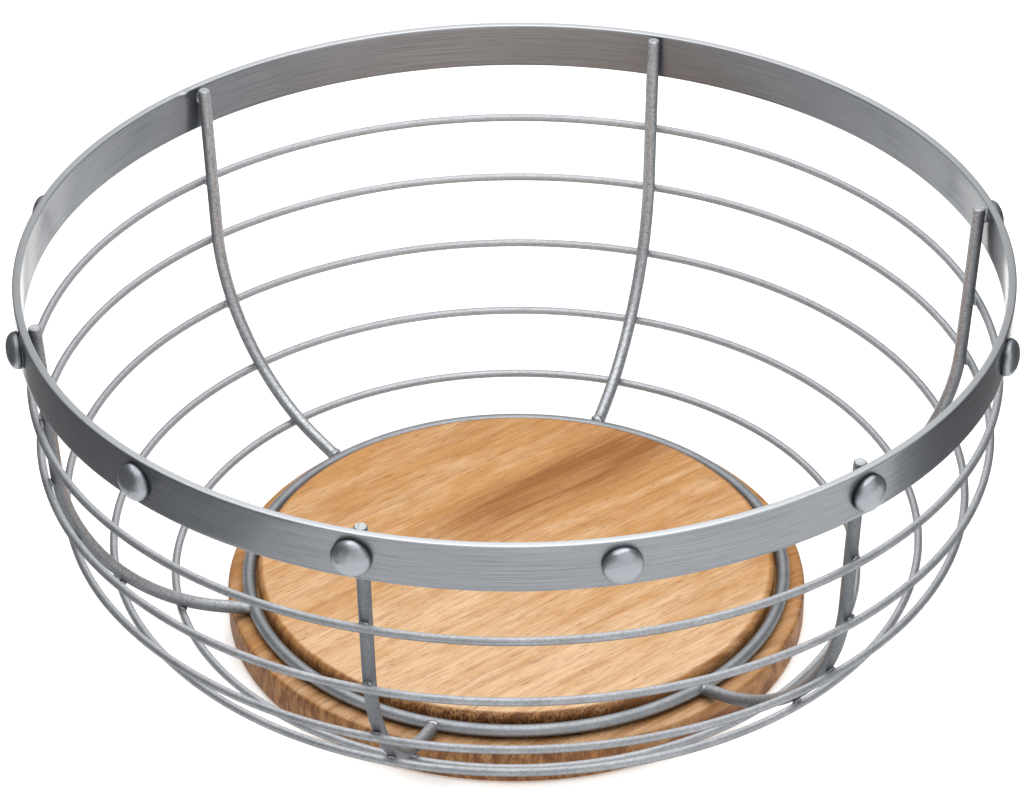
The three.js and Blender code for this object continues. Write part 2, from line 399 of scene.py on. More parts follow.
def new_tree(name, inputs):
    """A geometry node tree with named inputs, and the sockets that give them."""
    tree = bpy.data.node_groups.new(name, "GeometryNodeTree")
    tree.interface.new_socket("Geometry", in_out="INPUT", socket_type="NodeSocketGeometry")
    for title, kind in inputs.items():
        tree.interface.new_socket(title, in_out="INPUT", socket_type=f"NodeSocket{kind}")
    tree.interface.new_socket("Geometry", in_out="OUTPUT", socket_type="NodeSocketGeometry")
    return tree, put(tree, "NodeGroupInput").outputs


def wire_tree():
    """Sweeps round wire along every line of a mesh, with the waver of wire that is bent by hand."""
    tree, given = new_tree("Bent wire", {
        "Wire radius": "Float", "Sides": "Int", "Waver": "Float", "Waver scale": "Float", "Seed": "Float",
        "Finish": "Material"})
    curves = put(tree, "GeometryNodeMeshToCurve", {"Mesh": given["Geometry"]})
    place = put(tree, "GeometryNodeInputPosition")
    drift = put(tree, "ShaderNodeTexNoise", {
        "Vector": place, "W": given["Seed"], "Scale": given["Waver scale"], "Detail": 1},
        noise_dimensions="4D")
    centred = put(tree, "ShaderNodeVectorMath", {0: drift.outputs["Color"], 1: (0.5, 0.5, 0.5)},
                  operation="SUBTRACT")
    offset = put(tree, "ShaderNodeVectorMath", {0: centred, "Scale": given["Waver"]}, operation="SCALE")
    bent = put(tree, "GeometryNodeSetPosition", {"Geometry": curves, "Offset": offset})
    section = put(tree, "GeometryNodeCurvePrimitiveCircle", {
        "Resolution": given["Sides"], "Radius": given["Wire radius"]})
    taper = put(tree, "GeometryNodeInputNamedAttribute", {"Name": "taper"}, data_type="FLOAT")
    swept = put(tree, "GeometryNodeCurveToMesh", {
        "Curve": bent, "Profile Curve": section, "Scale": taper, "Fill Caps": True})
    whole = put(tree, "GeometryNodeRealizeInstances", {"Geometry": swept})
    dressed = put(tree, "GeometryNodeSetMaterial", {"Geometry": whole, "Material": given["Finish"]})
    put(tree, "NodeGroupOutput", {"Geometry": dressed})
    return tree


def copies_tree():
    """Stands a copy of a piece on every point, each a little turned, resized and lumped by chance."""
    tree, given = new_tree("Set copies", {
        "Piece": "Object", "Tilt": "Float", "Size spread": "Float", "Lump": "Float", "Lump scale": "Float",
        "Seed": "Int", "Finish": "Material"})
    piece = put(tree, "GeometryNodeObjectInfo", {"Object": given["Piece"]})
    facing, upward, size = [
        put(tree, "GeometryNodeInputNamedAttribute", {"Name": title}, data_type="FLOAT_VECTOR")
        for title in ("facing", "upward", "size")]
    upright = put(tree, "FunctionNodeAxesToRotation", {"Primary Axis": facing, "Secondary Axis": upward},
                  primary_axis="Z", secondary_axis="X")
    chance = put(tree, "FunctionNodeRandomValue", {
        "Min": (-1, -1, -1), "Max": (1, 1, 1), "Seed": given["Seed"]}, data_type="FLOAT_VECTOR")
    lean = put(tree, "ShaderNodeVectorMath", {0: chance, "Scale": given["Tilt"]}, operation="SCALE")
    tilt = put(tree, "FunctionNodeEulerToRotation", {"Euler": lean})
    tilted = put(tree, "FunctionNodeRotateRotation", {"Rotation": upright, "Rotate By": tilt},
                 rotation_space="LOCAL")
    growth = put(tree, "FunctionNodeRandomValue", {"Min": -1.0, "Max": 1.0, "Seed": given["Seed"]},
                 data_type="FLOAT")
    share = put(tree, "ShaderNodeMath", {0: growth, 1: given["Size spread"], 2: 1.0},
                operation="MULTIPLY_ADD")
    scale = put(tree, "ShaderNodeVectorMath", {0: size, "Scale": share}, operation="SCALE")
    stood = put(tree, "GeometryNodeInstanceOnPoints", {
        "Points": given["Geometry"], "Instance": piece.outputs["Geometry"], "Rotation": tilted,
        "Scale": scale})
    whole = put(tree, "GeometryNodeRealizeInstances", {"Geometry": stood})
    place = put(tree, "GeometryNodeInputPosition")
    grain = put(tree, "ShaderNodeTexNoise", {"Vector": place, "Scale": given["Lump scale"], "Detail": 2})
    centred = put(tree, "ShaderNodeMath", {0: grain, 1: 0.5}, operation="SUBTRACT")
    swell = put(tree, "ShaderNodeMath", {0: centred, 1: given["Lump"]}, operation="MULTIPLY")
    normal = put(tree, "GeometryNodeInputNormal")
    offset = put(tree, "ShaderNodeVectorMath", {0: normal, "Scale": swell}, operation="SCALE")
    lumpy = put(tree, "GeometryNodeSetPosition", {"Geometry": whole, "Offset": offset})
    dressed = put(tree, "GeometryNodeSetMaterial", {"Geometry": lumpy, "Material": given["Finish"]})
    put(tree, "NodeGroupOutput", {"Geometry": dressed})
    return tree


def grow(name, base, tree, inputs):
    """Runs a tree on a base object and keeps the result as a plain mesh in a piece of its own."""
    modifier = base.modifiers.new(tree.name, "NODES")
    modifier.node_group = tree
    for item in tree.interface.items_tree:
        if item.in_out == "INPUT" and item.name in inputs:
            modifier[item.identifier] = inputs[item.name]
    graph = bpy.context.evaluated_depsgraph_get()
    mesh = bpy.data.meshes.new_from_object(
        base.evaluated_get(graph), preserve_all_data_layers=True, depsgraph=graph)
    mesh.name = name
    base.modifiers.remove(modifier)
    bpy.data.objects.remove(base)
    return new_piece(name, mesh)


def copies(name, rows, mesh, finish, tilt=0.0, spread=0.0, lump=0.0, lump_size=1.0, seed=0):
    """Copies of a mesh on rows of places, facings, upward directions and sizes."""
    pattern = bpy.data.objects.new(name + "_pattern", mesh)
    piece = grow(name, spots(name + "_spots", rows), copies_tree(), {
        "Piece": pattern, "Tilt": tilt, "Size spread": spread, "Lump": lump, "Lump scale": 1 / lump_size,
        "Seed": seed, "Finish": finish})
    bpy.data.objects.remove(pattern)
    return piece


# Finishes

# Sizes and lie of the patterns
STRIP_BRUSHES = {"streaks": (55 * MM, 0.3 * MM, 1), "scratches": (14 * MM, 0.24 * MM, 1)}
TONE_SIZE = 45 * MM
SPECKLE_SIZE = 0.9 * MM
PATCH_SIZE = 9 * MM
DENT_SIZE = 2.6 * MM
PAPER_TOOTH = 3 * MM
WOOD_GRAINS = {
    "figure": (80 * MM, 9 * MM, 16 * MM),
    "streak": (45 * MM, 2.2 * MM, 8 * MM),
    "mottle": (10 * MM, 3.5 * MM, 4 * MM),
    "fibre": (12 * MM, 0.5 * MM, 3 * MM),
    "pore": (4 * MM, 0.42 * MM, 0.5 * MM),
}
CHAR_GRAIN = (0.55 * MM, 0.55 * MM, 1.5 * MM)
GRAIN_ANGLE = math.radians(39)
GRAIN_TILT = math.radians(2.5)
GRAIN_WANDER = 0.4
HEART_PLACE = (22 * MM, 49 * MM, 18 * MM)
HEART_SIZE = (105 * MM, 18 * MM, 60 * MM)
HEART_WAVER = {"figure": 0.4, "streak": 0.5}
HEART_EDGE = (0.6, 1.15)

# Marks of a finish: the pattern that each follows, two values of it, and the mark's strength at them
STRIP_MARKS = {
    "brushing": ("streaks", 0.36, 0.56, 0, 1),
    "evenness": ("tone", 0.3, 0.7, 0.7, 1),
    "cuts": ("scratches", 0.52, 0.66, 0, 0.9),
    "hold": ("wash", 0, 1, 0.5, 1),
}
WOOD_MARKS = {
    "ripeness": ("depth", -80 * MM, 40 * MM, 0, 0.95),
    "bands": ("figure", 0.35, 0.65, -0.3, 0.3),
    "mottling": ("mottle", 0.35, 0.65, -0.2, 0.2),
    "veins": ("streak", 0.35, 0.62, 0.5, 1),
    "brown_lines": ("streak", 0.5, 0.72, 0, 0.36),
    "thirst": ("streak", 0.38, 0.6, 0.45, 1),
    "fibres": ("fibre", 0.45, 0.72, 0, 0.42),
    "open_pores": ("pore", 0.6, 0.74, 0, 0.65),
    "specks": ("char", 0.45, 0.6, 0, 1),
}
# Values and strengths of the marks of the wires, the rivets and the welds
SPECKLE_TONE = (0.35, 0.6, 0.5, 1)
PATCH_TONE = (0.3, 0.65, 0.5, 1)
CROWN_RUB = (0.45, 1.1, 0, 1)
# Dark line round a rivet's seat, part wash and part painted shade where the head meets the band
SEAT_SHADE_AND_WASH = (0.05, 0.3, 0.95, 0)
MELT_EDGE = (0.3, 0.55)
# Darkening round the rivets, part wash and part painted shade, and along the band's lower edge
DARKENING_STRENGTH = 0.4

# Roughness of the lacquer on the heavy and on the thin wire, and how far a bright speck lies below it
SATIN = 0.58
MATT = 0.66
SPECK_SHINE = 0.12


def opaque(tint):
    return (*tint, 1)


def new_finish(name):
    """A material, its tree and the coordinates of the piece that wears it."""
    material = bpy.data.materials.new(name)
    material.use_nodes = True
    tree = material.node_tree
    return material, tree, put(tree, "ShaderNodeTexCoord").outputs["Object"]


def between(pattern, low, high, first=0, last=1):
    """Settings by which two values of a pattern become two strengths of a mark."""
    return {"Value": pattern, "From Min": low, "From Max": high, "To Min": first, "To Max": last}


def dress(material, ground, coats, gloss, settings, relief=None):
    """Lays coats of colour over a ground, each by its share, and gives the surface its gloss and relief.
    Gloss is a pattern with the roughness at its two ends. Relief is a pattern with its strength, its depth
    and whether it is sunk."""
    tree = material.node_tree
    tint = opaque(ground)
    for share, coat in coats:
        tint = put(tree, "ShaderNodeMix", {"Factor": share, "A": tint, "B": opaque(coat)}, data_type="RGBA")
    pattern, *ends = gloss
    rough = put(tree, "ShaderNodeMapRange", between(pattern, 0, 1, *ends))
    settings = {"Base Color": tint, "Roughness": rough, **settings}
    if relief:
        height, strength, depth, sunk = relief
        settings["Normal"] = put(tree, "ShaderNodeBump", {
            "Height": height, "Strength": strength, "Distance": depth}, invert=sunk)
    feed(tree, tree.nodes["Principled BSDF"], settings)
    return material


def brushed_strip(colours):
    """Mild steel strip, brushed along its length under a dark wash and a satin lacquer. The eye sees a grey
    in fine streaks that run with the strip, and highlights that the brushing spreads across it. Short
    scratches hold the wash, most of all round the rivets, and the edges are rubbed bright. Round each rivet
    the strip is darker, part wash and part painted shade of the seat, and it is darker along the lower edge.
    The streaks of a real brush are too fine to show, so they are drawn several times coarser."""
    material, tree, place = new_finish("Brushed steel strip")
    strip = put(tree, "ShaderNodeUVMap", uv_map="Strip")
    patterns = {
        name: put(tree, "ShaderNodeTexNoise", {
            "Vector": put(tree, "ShaderNodeMapping", {"Vector": strip, "Scale": brush},
                          vector_type="TEXTURE"),
            "Scale": 1, "Detail": 4, "Roughness": 0.65})
        for name, brush in STRIP_BRUSHES.items()}
    patterns["tone"] = put(tree, "ShaderNodeTexNoise", {
        "Vector": place, "Scale": 1 / TONE_SIZE, "Detail": 2})
    wash, rubbed = [
        put(tree, "ShaderNodeAttribute", attribute_name=name).outputs["Fac"]
        for name in ("wash", "rubbed")]
    patterns["wash"] = wash
    marks = {
        name: put(tree, "ShaderNodeMapRange", between(patterns[pattern], *values))
        for name, (pattern, *values) in STRIP_MARKS.items()}
    clean = put(tree, "ShaderNodeMath", {0: marks["brushing"], 1: marks["evenness"]}, operation="MULTIPLY")
    cuts = put(tree, "ShaderNodeMath", {0: marks["cuts"], 1: marks["hold"]}, operation="MULTIPLY")
    # Darker round the rivets, part wash and part painted shade, and along the lower edge
    darkening = put(tree, "ShaderNodeMath", {0: wash, 1: wash}, operation="MULTIPLY")
    darkened = put(tree, "ShaderNodeMath", {0: darkening, 1: DARKENING_STRENGTH}, operation="MULTIPLY")
    dark = put(tree, "ShaderNodeMath", {0: cuts, 1: darkened}, operation="MAXIMUM")
    along = put(tree, "ShaderNodeTangent", direction_type="UV_MAP", uv_map="Strip")
    return dress(
        material, colours.steel_streak,
        ((clean, colours.steel), (dark, colours.steel_scorched), (rubbed, colours.steel_rubbed)),
        gloss=(patterns["streaks"], 0.52, 0.38), relief=(patterns["streaks"], 0.2, 0.1 * MM, False),
        settings={"Metallic": 1, "Tangent": along, "Anisotropic": 0.7, "Anisotropic Rotation": 0.25,
                  "Coat Weight": 1, "Coat Roughness": 0.14})


def drawn_wire(name, light, shade, dull, colours):
    """Steel wire, drawn, welded up, washed dark and dipped in lacquer. The eye sees an even grey with a
    faint speckle, slow changes of tone along it, a dark line of painted shade underneath, dull marks where
    a weld has scorched it, and brighter faces, which are painted light inside the bowl and ground metal
    at a rib's top end."""
    material, tree, place = new_finish(name)
    speckle = put(tree, "ShaderNodeTexNoise", {
        "Vector": place, "Scale": 1 / SPECKLE_SIZE, "Detail": 3, "Roughness": 0.6})
    patches = put(tree, "ShaderNodeTexNoise", {"Vector": place, "Scale": 1 / PATCH_SIZE, "Detail": 2})
    fine = put(tree, "ShaderNodeMapRange", between(speckle, *SPECKLE_TONE))
    slow = put(tree, "ShaderNodeMapRange", between(patches, *PATCH_TONE))
    heat, under, bare = [
        put(tree, "ShaderNodeAttribute", attribute_name=mark).outputs["Fac"]
        for mark in ("heat", "under", "bare")]
    # A paler colour: painted light on the faces inside the bowl, and ground metal at a rib's top end
    clean, scorched, rubbed = [
        put(tree, "ShaderNodeMath", {0: first, 1: second}, operation="MULTIPLY")
        for first, second in ((fine, slow), (heat, speckle), (bare, fine))]
    # Dark: scorching round the welds, and painted shade on the wires' undersides
    dark = put(tree, "ShaderNodeMath", {0: scorched, 1: under}, operation="MAXIMUM")
    return dress(
        material, shade, ((clean, light), (dark, colours.steel_scorched), (rubbed, colours.wire_bare)),
        gloss=(speckle, dull, dull - SPECK_SHINE), relief=(speckle, 0.15, 0.1 * MM, False),
        settings={"Metallic": 0.85})


def rubbed_rivet(colours):
    """Domed steel rivets, hammered, washed dark and rubbed back. The eye sees a satin crown with shallow
    dents and a dark line round the seat, part wash and part painted shade where the head meets the band."""
    material, tree, place = new_finish("Rubbed rivet steel")
    dents = put(tree, "ShaderNodeTexNoise", {"Vector": place, "Scale": 1 / DENT_SIZE, "Detail": 3})
    crown = put(tree, "ShaderNodeAttribute", attribute_name="crown").outputs["Fac"]
    worn = put(tree, "ShaderNodeMath", {0: crown, 1: dents}, operation="ADD")
    rubbed = put(tree, "ShaderNodeMapRange", between(worn, *CROWN_RUB))
    # Painted shade, with some wash, in a dark line round the seat
    seat = put(tree, "ShaderNodeMapRange", between(crown, *SEAT_SHADE_AND_WASH))
    return dress(
        material, colours.steel_streak, ((rubbed, colours.rivet), (seat, colours.steel_scorched)),
        gloss=(dents, 0.48, 0.34), relief=(dents, 0.55, 0.3 * MM, False), settings={"Metallic": 1})


def weld_metal(colours):
    """Weld beads, left as they set under the lacquer. The eye sees light lumps with dull pits."""
    material, tree, place = new_finish("Weld metal")
    lumps = put(tree, "ShaderNodeTexNoise", {"Vector": place, "Scale": 1 / SPECKLE_SIZE, "Detail": 3})
    melted = put(tree, "ShaderNodeMapRange", between(lumps, *MELT_EDGE))
    return dress(
        # The beads' darker end is the ribs' duller colour, which holds painted shade
        material, colours.rib_shade, ((melted, colours.wire),),
        gloss=(lumps, 0.54, 0.38), relief=(lumps, 0.4, 0.2 * MM, False), settings={"Metallic": 0.85})


def zinc_plate(colours):
    """Steel fasteners, zinc plated. The eye sees a pale bright metal with a faint cloudiness."""
    material, tree, place = new_finish("Zinc plate")
    cloud = put(tree, "ShaderNodeTexNoise", {"Vector": place, "Scale": 1 / DENT_SIZE, "Detail": 2})
    return dress(material, colours.steel, ((cloud, colours.zinc),), gloss=(cloud, 0.38, 0.24),
                 settings={"Metallic": 1})


def oiled_acacia(colours):
    """Acacia, turned on a lathe and oiled. The eye sees pale sapwood that turns golden towards a red-brown
    streak of heartwood, with a soft mottle, fine fibres and short dark pores along the grain, and browner
    walls, specked dark where the lathe has torn the end grain. Fibres and pores are drawn coarser than real
    ones, which are too fine to show."""
    material, tree, place = new_finish("Oiled acacia")
    patterns = {
        name: put(tree, "ShaderNodeTexNoise", {
            "Vector": put(tree, "ShaderNodeMapping", {
                "Vector": place, "Rotation": (0, GRAIN_TILT, GRAIN_ANGLE), "Scale": grain},
                vector_type="TEXTURE"),
            "Scale": 1, "Detail": 3, "Distortion": GRAIN_WANDER})
        for name, grain in WOOD_GRAINS.items()}
    patterns["char"] = put(tree, "ShaderNodeTexNoise", {
        "Vector": put(tree, "ShaderNodeMapping", {"Vector": place, "Scale": CHAR_GRAIN},
                      vector_type="TEXTURE"), "Scale": 1, "Detail": 2})
    patterns["depth"] = put(tree, "ShaderNodeSeparateXYZ", {"Vector": place}).outputs["Y"]
    marks = {
        name: put(tree, "ShaderNodeMapRange", between(patterns[pattern], *values))
        for name, (pattern, *values) in WOOD_MARKS.items()}
    wall, end_grain = [
        put(tree, "ShaderNodeAttribute", attribute_name=name).outputs["Fac"]
        for name in ("wall", "end_grain")]
    golden = marks["ripeness"]
    for share in (marks["bands"], marks["mottling"], wall):
        golden = put(tree, "ShaderNodeMath", {0: golden, 1: share}, operation="ADD")
    core = put(tree, "ShaderNodeTexGradient", {
        "Vector": put(tree, "ShaderNodeMapping", {
            "Vector": place, "Location": HEART_PLACE, "Rotation": (0, 0, GRAIN_ANGLE), "Scale": HEART_SIZE},
            vector_type="TEXTURE")}, gradient_type="SPHERICAL").outputs["Fac"]
    for name, share in HEART_WAVER.items():
        core = put(tree, "ShaderNodeMath", {0: patterns[name], 1: share, 2: core}, operation="MULTIPLY_ADD")
    ragged = put(tree, "ShaderNodeMapRange", between(core, *HEART_EDGE))
    heart, soaked, torn = [
        put(tree, "ShaderNodeMath", {0: first, 1: marks[name]}, operation="MULTIPLY")
        for first, name in ((ragged, "veins"), (wall, "thirst"), (end_grain, "specks"))]
    brown, dark = [
        put(tree, "ShaderNodeMath", {0: first, 1: marks[name]}, operation="MAXIMUM")
        for first, name in ((heart, "brown_lines"), (torn, "open_pores"))]
    return dress(
        material, colours.sapwood,
        ((golden, colours.acacia), (brown, colours.heartwood), (soaked, colours.acacia_end),
         (marks["fibres"], colours.heartwood), (dark, colours.acacia_pore)),
        gloss=(patterns["fibre"], 0.5, 0.66), relief=(dark, 0.3, 0.15 * MM, True),
        settings={"Specular IOR Level": 0.3})


def studio_paper(name, tint, glow=0):
    """Matt studio paper or card, lit from below where it glows. The eye sees an even tone."""
    material, tree, place = new_finish(name)
    tooth = put(tree, "ShaderNodeTexNoise", {"Vector": place, "Scale": 1 / PAPER_TOOTH, "Detail": 2})
    return dress(material, tint, (), gloss=(tooth, 0.8, 0.95),
                 settings={"Emission Color": opaque(tint), "Emission Strength": glow})


# Rim band

BUTT_WELD_ANGLE = math.radians(135.5)
BURR_WIDTH = 2.2 * MM
BURR_HEIGHT = 0.7 * MM
WAVER_LENGTH = 70 * MM
# Reach of the dark ring round each rivet, part wash and part painted shade of its seat
RIVET_SHADE_AND_WASH_REACH = 1.2 * MM
# Distance from the band's upper and lower edge where its mark is full, and where it ends
RUBBED_EDGE = (0.5 * MM / 3, 0.5 * MM)
LOWER_EDGE_DARK = (0, 1.0 * MM)


class BASKET_OT_rim_band(bpy.types.Operator):
    """Rolls the strip into the rim band, with the burr of its butt weld"""
    bl_idname = "basket.rim_band"
    bl_label = "Rim band"

    def execute(self, context):
        sizes = context.scene.basket_sizes
        low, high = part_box("rim_band")
        outer = reach("rim_band")
        inner = outer - sizes.band_thickness
        profile = flat_ring(inner, outer, low.z, high.z, sizes.band_edge, BAND_FACE_ROWS)
        mesh = turned("band_strip", profile, BAND_SEGMENTS, closed=True, first_angle=BUTT_WELD_ANGLE)
        seam = Vector((math.cos(BUTT_WELD_ANGLE), math.sin(BUTT_WELD_ANGLE), 0))
        burr = nearness([seam * inner + UP * high.z], 0, BURR_WIDTH)
        # A dark ring round each rivet's head: part wash, part painted shade of its seat
        rivet_shade_and_wash = nearness([middle(node) for node in RIVETS], sizes.rivet_head / 2,
                        sizes.rivet_head / 2 + RIVET_SHADE_AND_WASH_REACH)
        wall = (inner + outer) / 2

        def wash(vertex):
            """Where the strip is darker: round the rivets on the outside, part wash and part painted shade,
            and along the lower edge.
            """
            ringed = rivet_shade_and_wash(vertex.co) if vertex.co.xy.length > wall else 0
            return max(ringed, fade(vertex.co.z - low.z, *LOWER_EDGE_DARK))

        paint(mesh, rubbed=lambda vertex: fade(high.z - vertex.co.z, *RUBBED_EDGE), wash=wash)
        for vertex in mesh.vertices:
            place = vertex.co.copy()
            outward = Vector((place.x, place.y, 0)).normalized()
            stray = noise.noise(place / WAVER_LENGTH) * sizes.band_waver
            vertex.co += outward * (stray - burr(place) * BURR_HEIGHT)
        mesh.materials.append(brushed_strip(context.scene.basket_colours))
        settle(new_piece("band_strip", mesh), ["rim_band"])
        return {"FINISHED"}


# Rivets

RIVET_FULLNESS = 2.15
RIVET_SINK = 0.3 * MM
RIVET_TILT = math.radians(1.5)
RIVET_SPREAD = 0.015
RIVET_DENT = 0.25 * MM
RIVET_SEED = 4


class BASKET_OT_rivets(bpy.types.Operator):
    """Sets a domed rivet on the band at each rivet's place"""
    bl_idname = "basket.rivets"
    bl_label = "Rivets"

    def execute(self, context):
        sizes = context.scene.basket_sizes
        head = sizes.rivet_head / 2
        seat = head - sizes.rivet_undercut
        dome = sizes.rivet_height - sizes.rivet_land
        turns = [math.pi / 2 * i / RIVET_CROWN_STEPS for i in range(RIVET_CROWN_STEPS)]
        power = 2 / RIVET_FULLNESS
        crown = [(head * math.cos(t) ** power, sizes.rivet_land + dome * math.sin(t) ** power)
                 for t in turns]
        profile = [(0, -RIVET_SINK), (seat, -RIVET_SINK)]
        profile += arc((seat, sizes.rivet_undercut), sizes.rivet_undercut, -90, 0)
        profile += crown + [(0, sizes.rivet_height)]
        mesh = turned("rivet_head", profile, RIVET_SEGMENTS)
        paint(mesh, crown=lambda vertex: 1 - fade(vertex.co.z, 0, sizes.rivet_height))
        outer = reach("rim_band")
        rows = [(radial(node) * outer + UP * middle(node).z, radial(node), UP, FULL_SIZE) for node in RIVETS]
        finish = rubbed_rivet(context.scene.basket_colours)
        piece = copies("rivet_heads", rows, mesh, finish, tilt=RIVET_TILT, spread=RIVET_SPREAD,
                       lump=RIVET_DENT, lump_size=DENT_SIZE, seed=RIVET_SEED)
        settle(piece, RIVETS)
        return {"FINISHED"}


# Wires

RIB_END_TAPERS = (0.8, 0.95)
RIB_END_STEPS = (0.0, 0.3 * MM)
RIB_SEED = 1.0
HOOP_SEED = 2.0
RING_SEED = 3.0
GROUND_END = 0.4 * MM
# Upward part of a face where the painted shade on a wire's underside is full, and where it ends
UNDERSIDE_SHADE = (-0.75, -0.1)
# Inward part of a face where the painted light begins, and where it is full, with inward tipped up by the
# rise
INSIDE = (0, 0.8)
INSIDE_RISE = 0.75
# Distance from a weld where its scorching is full, and where it ends
HEAT = (1.5 * MM, 4.5 * MM)


def crossings(sizes):
    """For each rib, where it meets the hoops: the place on its outside, the way out and the way up."""
    rib = RibLine(sizes)
    off = (sizes.rib_wire + sizes.joint_gap) / 2
    flats = []
    for node in HOOPS:
        distance = rib.nearest(Vector((reach(node) - sizes.hoop_wire / 2, middle(node).z)))
        turn = rib.turn(distance)
        out = rib.outward(turn)
        flats.append((rib.place(distance) + out * off, out, -rib.heading(turn)))
    return [[[swung(flat, radial(node)) for flat in joint] for joint in flats] for node in RIBS]


def weld_places(sizes):
    """Where the hoops meet the ribs."""
    return [joint[0] for joints in crossings(sizes) for joint in joints]


def underside_shade(vertex):
    """How far a wire faces down here, which sets the painted shade on its underside."""
    return fade(vertex.normal.z, *UNDERSIDE_SHADE)


def inside(vertex):
    """How far a wire faces into the bowl and upwards here, which sets the painted light on it."""
    inward = -vertex.co.xy.to_3d().normalized()
    return 1 - fade(vertex.normal.dot((inward + UP * INSIDE_RISE).normalized()), *INSIDE)


def wires(name, base, radius, sides, seed, finish, hot):
    """Round wire along a base's lines, scorched round the hot places, with painted shade underneath."""
    sizes = bpy.context.scene.basket_sizes
    piece = grow(name, base, wire_tree(), {
        "Wire radius": radius, "Sides": sides, "Waver": sizes.wire_waver, "Waver scale": 1 / WAVER_LENGTH,
        "Seed": seed, "Finish": finish})
    heat = nearness(hot, *HEAT)
    # under: painted shade on the wires' undersides
    paint(piece.data, heat=lambda vertex: heat(vertex.co), under=underside_shade)
    return piece


def ring_of_points(radius, height, count):
    turns = [2 * math.pi * i / count for i in range(count)]
    return [Vector((radius * math.cos(t), radius * math.sin(t), height)) for t in turns]


class BASKET_OT_ribs(bpy.types.Operator):
    """Bends the upright ribs from the rim to the base ring"""
    bl_idname = "basket.ribs"
    bl_label = "Ribs"

    def execute(self, context):
        sizes = context.scene.basket_sizes
        rib = RibLine(sizes)
        end = rib.length + sizes.joint_gap
        count = round(end / RIB_STEP)
        distances = list(RIB_END_STEPS) + [end * i / count for i in range(1, count + 1)]
        rows = [[swung(rib.place(distance), radial(node)) for distance in distances] for node in RIBS]
        base = lines("rib_lines", rows, closed=False, tapers=RIB_END_TAPERS)
        colours = context.scene.basket_colours
        # A darker copy of the wire, part wash and part painted shade of the band over the ribs
        finish = drawn_wire("Washed steel wire", colours.rib, colours.rib_shade, SATIN, colours)
        half = sizes.rib_wire / 2
        piece = wires("rib_wires", base, half, RIB_SIDES, RIB_SEED, finish, weld_places(sizes))

        def bare(vertex):
            """Ground metal on the rib's top end, and painted light on its faces inside the bowl."""
            return max(fade(rib.top.y - vertex.co.z, 0, GROUND_END), inside(vertex))

        paint(piece.data, bare=bare)
        settle(piece, RIBS)
        return {"FINISHED"}


class BASKET_OT_hoops(bpy.types.Operator):
    """Bends the level hoops that lie outside the ribs"""
    bl_idname = "basket.hoops"
    bl_label = "Hoops"

    def execute(self, context):
        sizes = context.scene.basket_sizes
        half = sizes.hoop_wire / 2
        rows = [ring_of_points(reach(node) - half, middle(node).z, HOOP_POINTS) for node in HOOPS]
        base = lines("hoop_lines", rows, closed=True)
        colours = context.scene.basket_colours
        finish = drawn_wire("Drawn steel wire", colours.wire, colours.wire_shade, MATT, colours)
        piece = wires("hoop_wires", base, half, HOOP_SIDES, HOOP_SEED, finish, weld_places(sizes))
        # Painted light on the hoops' faces inside the bowl
        paint(piece.data, bare=inside)
        settle(piece, HOOPS)
        return {"FINISHED"}


class BASKET_OT_base_ring(bpy.types.Operator):
    """Bends the heavy ring that lies in the board's step"""
    bl_idname = "basket.base_ring"
    bl_label = "Base ring"

    def execute(self, context):
        sizes = context.scene.basket_sizes
        half = sizes.rib_wire / 2
        row = ring_of_points(reach("base_ring") - half, middle("base_ring").z, RING_POINTS)
        base = lines("ring_line", [row], closed=True)
        colours = context.scene.basket_colours
        # The ring's darker end is the ribs' colour, which holds painted shade
        finish = drawn_wire("Rubbed steel wire", colours.ring, colours.rib, SATIN, colours)
        feet = [swung(RibLine(sizes).foot, radial(node)) for node in RIBS]
        piece = wires("base_ring_wire", base, half, RIB_SIDES, RING_SEED, finish, feet)
        settle(piece, ["base_ring"])
        return {"FINISHED"}


# Welds

CROSSING_BEAD = (1.5 * MM, 1.9 * MM, 0.7 * MM)
TOP_BEAD = (2.0 * MM, 1.4 * MM, 0.9 * MM)
FOOT_BEAD = (1.6 * MM, 2.2 * MM, 1.7 * MM)
TOP_BEAD_DROP = 3.0 * MM
FOOT_BEAD_RISE = 0.6 * MM
BEAD_TILT = math.radians(14)
BEAD_SPREAD = 0.16
BEAD_LUMP = 0.8 * MM
BEAD_LUMP_SIZE = 1.3 * MM
BEAD_SEED = 11


class BASKET_OT_welds(bpy.types.Operator):
    """Lays the weld beads where hoops, ribs, band and base ring are joined"""
    bl_idname = "basket.welds"
    bl_label = "Weld beads"

    def execute(self, context):
        sizes = context.scene.basket_sizes
        rib = RibLine(sizes)
        off = (sizes.rib_wire + sizes.joint_gap) / 2
        top = rib.place(TOP_BEAD_DROP) + rib.outward(rib.lean) * off
        foot = rib.foot + Vector((0, FOOT_BEAD_RISE))
        rows = []
        for node, joints in zip(RIBS, crossings(sizes)):
            out = radial(node)
            rows += [(*joint, CROSSING_BEAD) for joint in joints]
            rows += [(swung(top, out), out, UP, TOP_BEAD), (swung(foot, out), out, UP, FOOT_BEAD)]
        bm = bmesh.new()
        bmesh.ops.create_icosphere(bm, subdivisions=BEAD_DETAIL, radius=1)
        mesh = bpy.data.meshes.new("bead")
        bm.to_mesh(mesh)
        bm.free()
        finish = weld_metal(context.scene.basket_colours)
        piece = copies("weld_beads", rows, mesh, finish, tilt=BEAD_TILT, spread=BEAD_SPREAD,
                       lump=BEAD_LUMP, lump_size=BEAD_LUMP_SIZE, seed=BEAD_SEED)
        settle(piece, [])
        return {"FINISHED"}


# Base board

STUD_HOLE_ROOF = 1.0 * MM
# Depth of a wall's rounded edge where it begins to be browner, and where it is all so
WALL_DEPTH = (0, 1.1 * MM)
# Least brown of the flange, and of the raised centre's wall where it runs with the grain
FLANGE_TONE = 0.4
SIDE_TONE = 0.5
# Where the end grain is torn worst, how closely that is bound to it, and the flange's share
TORN_ANGLE = math.radians(-96)
TORN_FOCUS = 3
FLANGE_SHARE = 0.5


